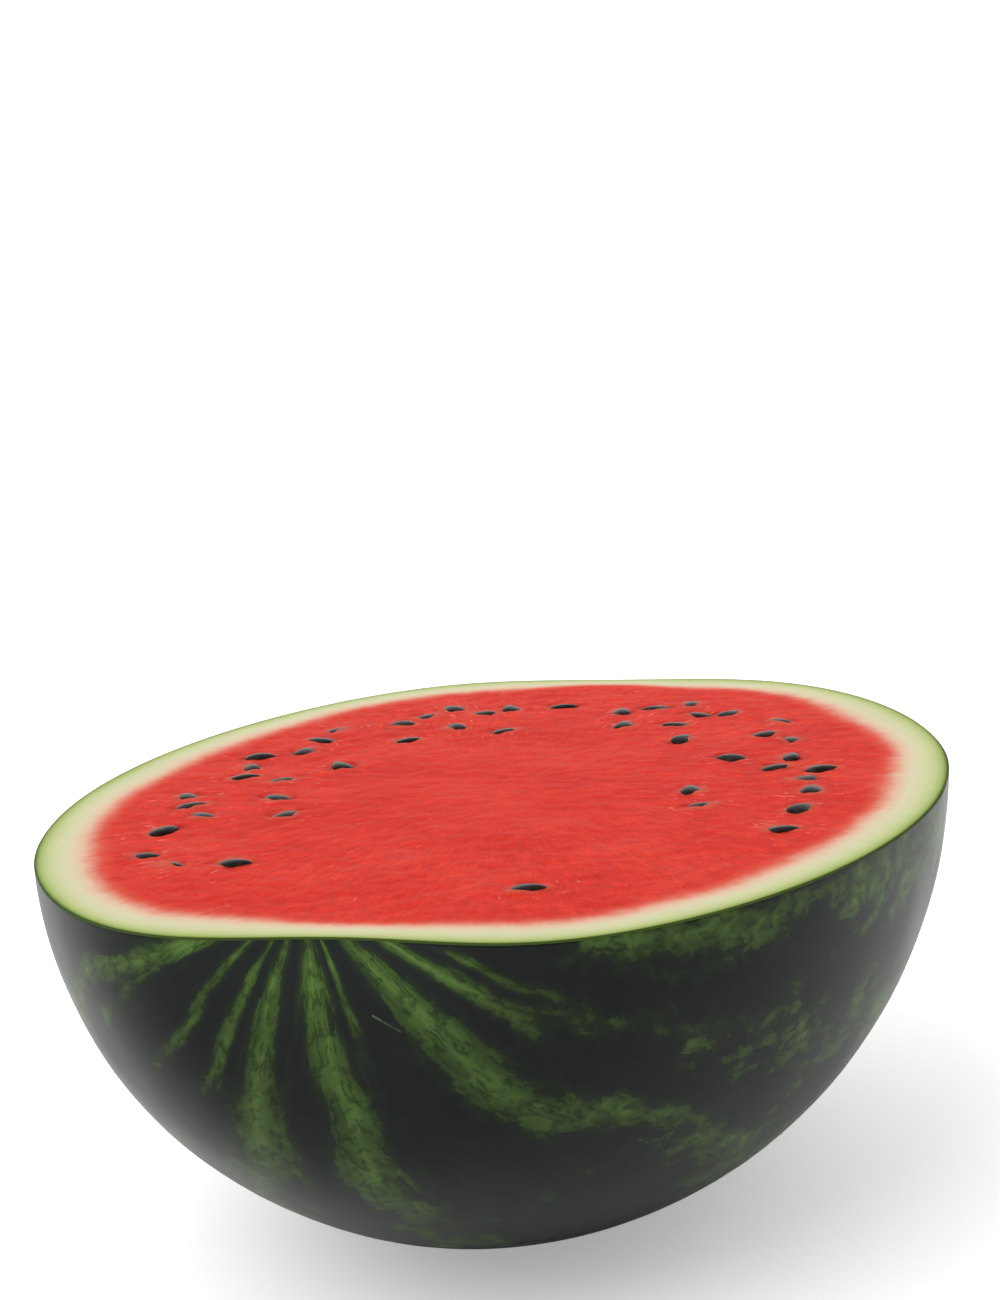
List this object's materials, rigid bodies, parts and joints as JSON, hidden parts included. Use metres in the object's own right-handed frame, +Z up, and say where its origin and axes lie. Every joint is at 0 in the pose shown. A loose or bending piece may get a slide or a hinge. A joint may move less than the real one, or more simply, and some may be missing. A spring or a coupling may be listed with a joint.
{
  "type": "watermelon half",
  "caption": "Half a watermelon cut lengthwise, lying on its striped green skin, with pale rind, red flesh and dark seeds in the level cut face.",
  "frame": {"origin": "bottom centre: the middle of the small flat spot of skin that the half lies on", "axes": "+Z up, out of the level cut face; +Y along the core, from the blossom end towards the stem end; +X across the fruit"},
  "size_m": [0.2596, 0.2992, 0.125],
  "materials": {
    "rind": null,
    "flesh": null,
    "seed": "smooth brown-black seed coat, wet with juice; used by the seeds that dress the flesh"
  },
  "bodies": {
    "root": {"rind": "rind", "flesh": "flesh"}
  },
  "joints": []
}
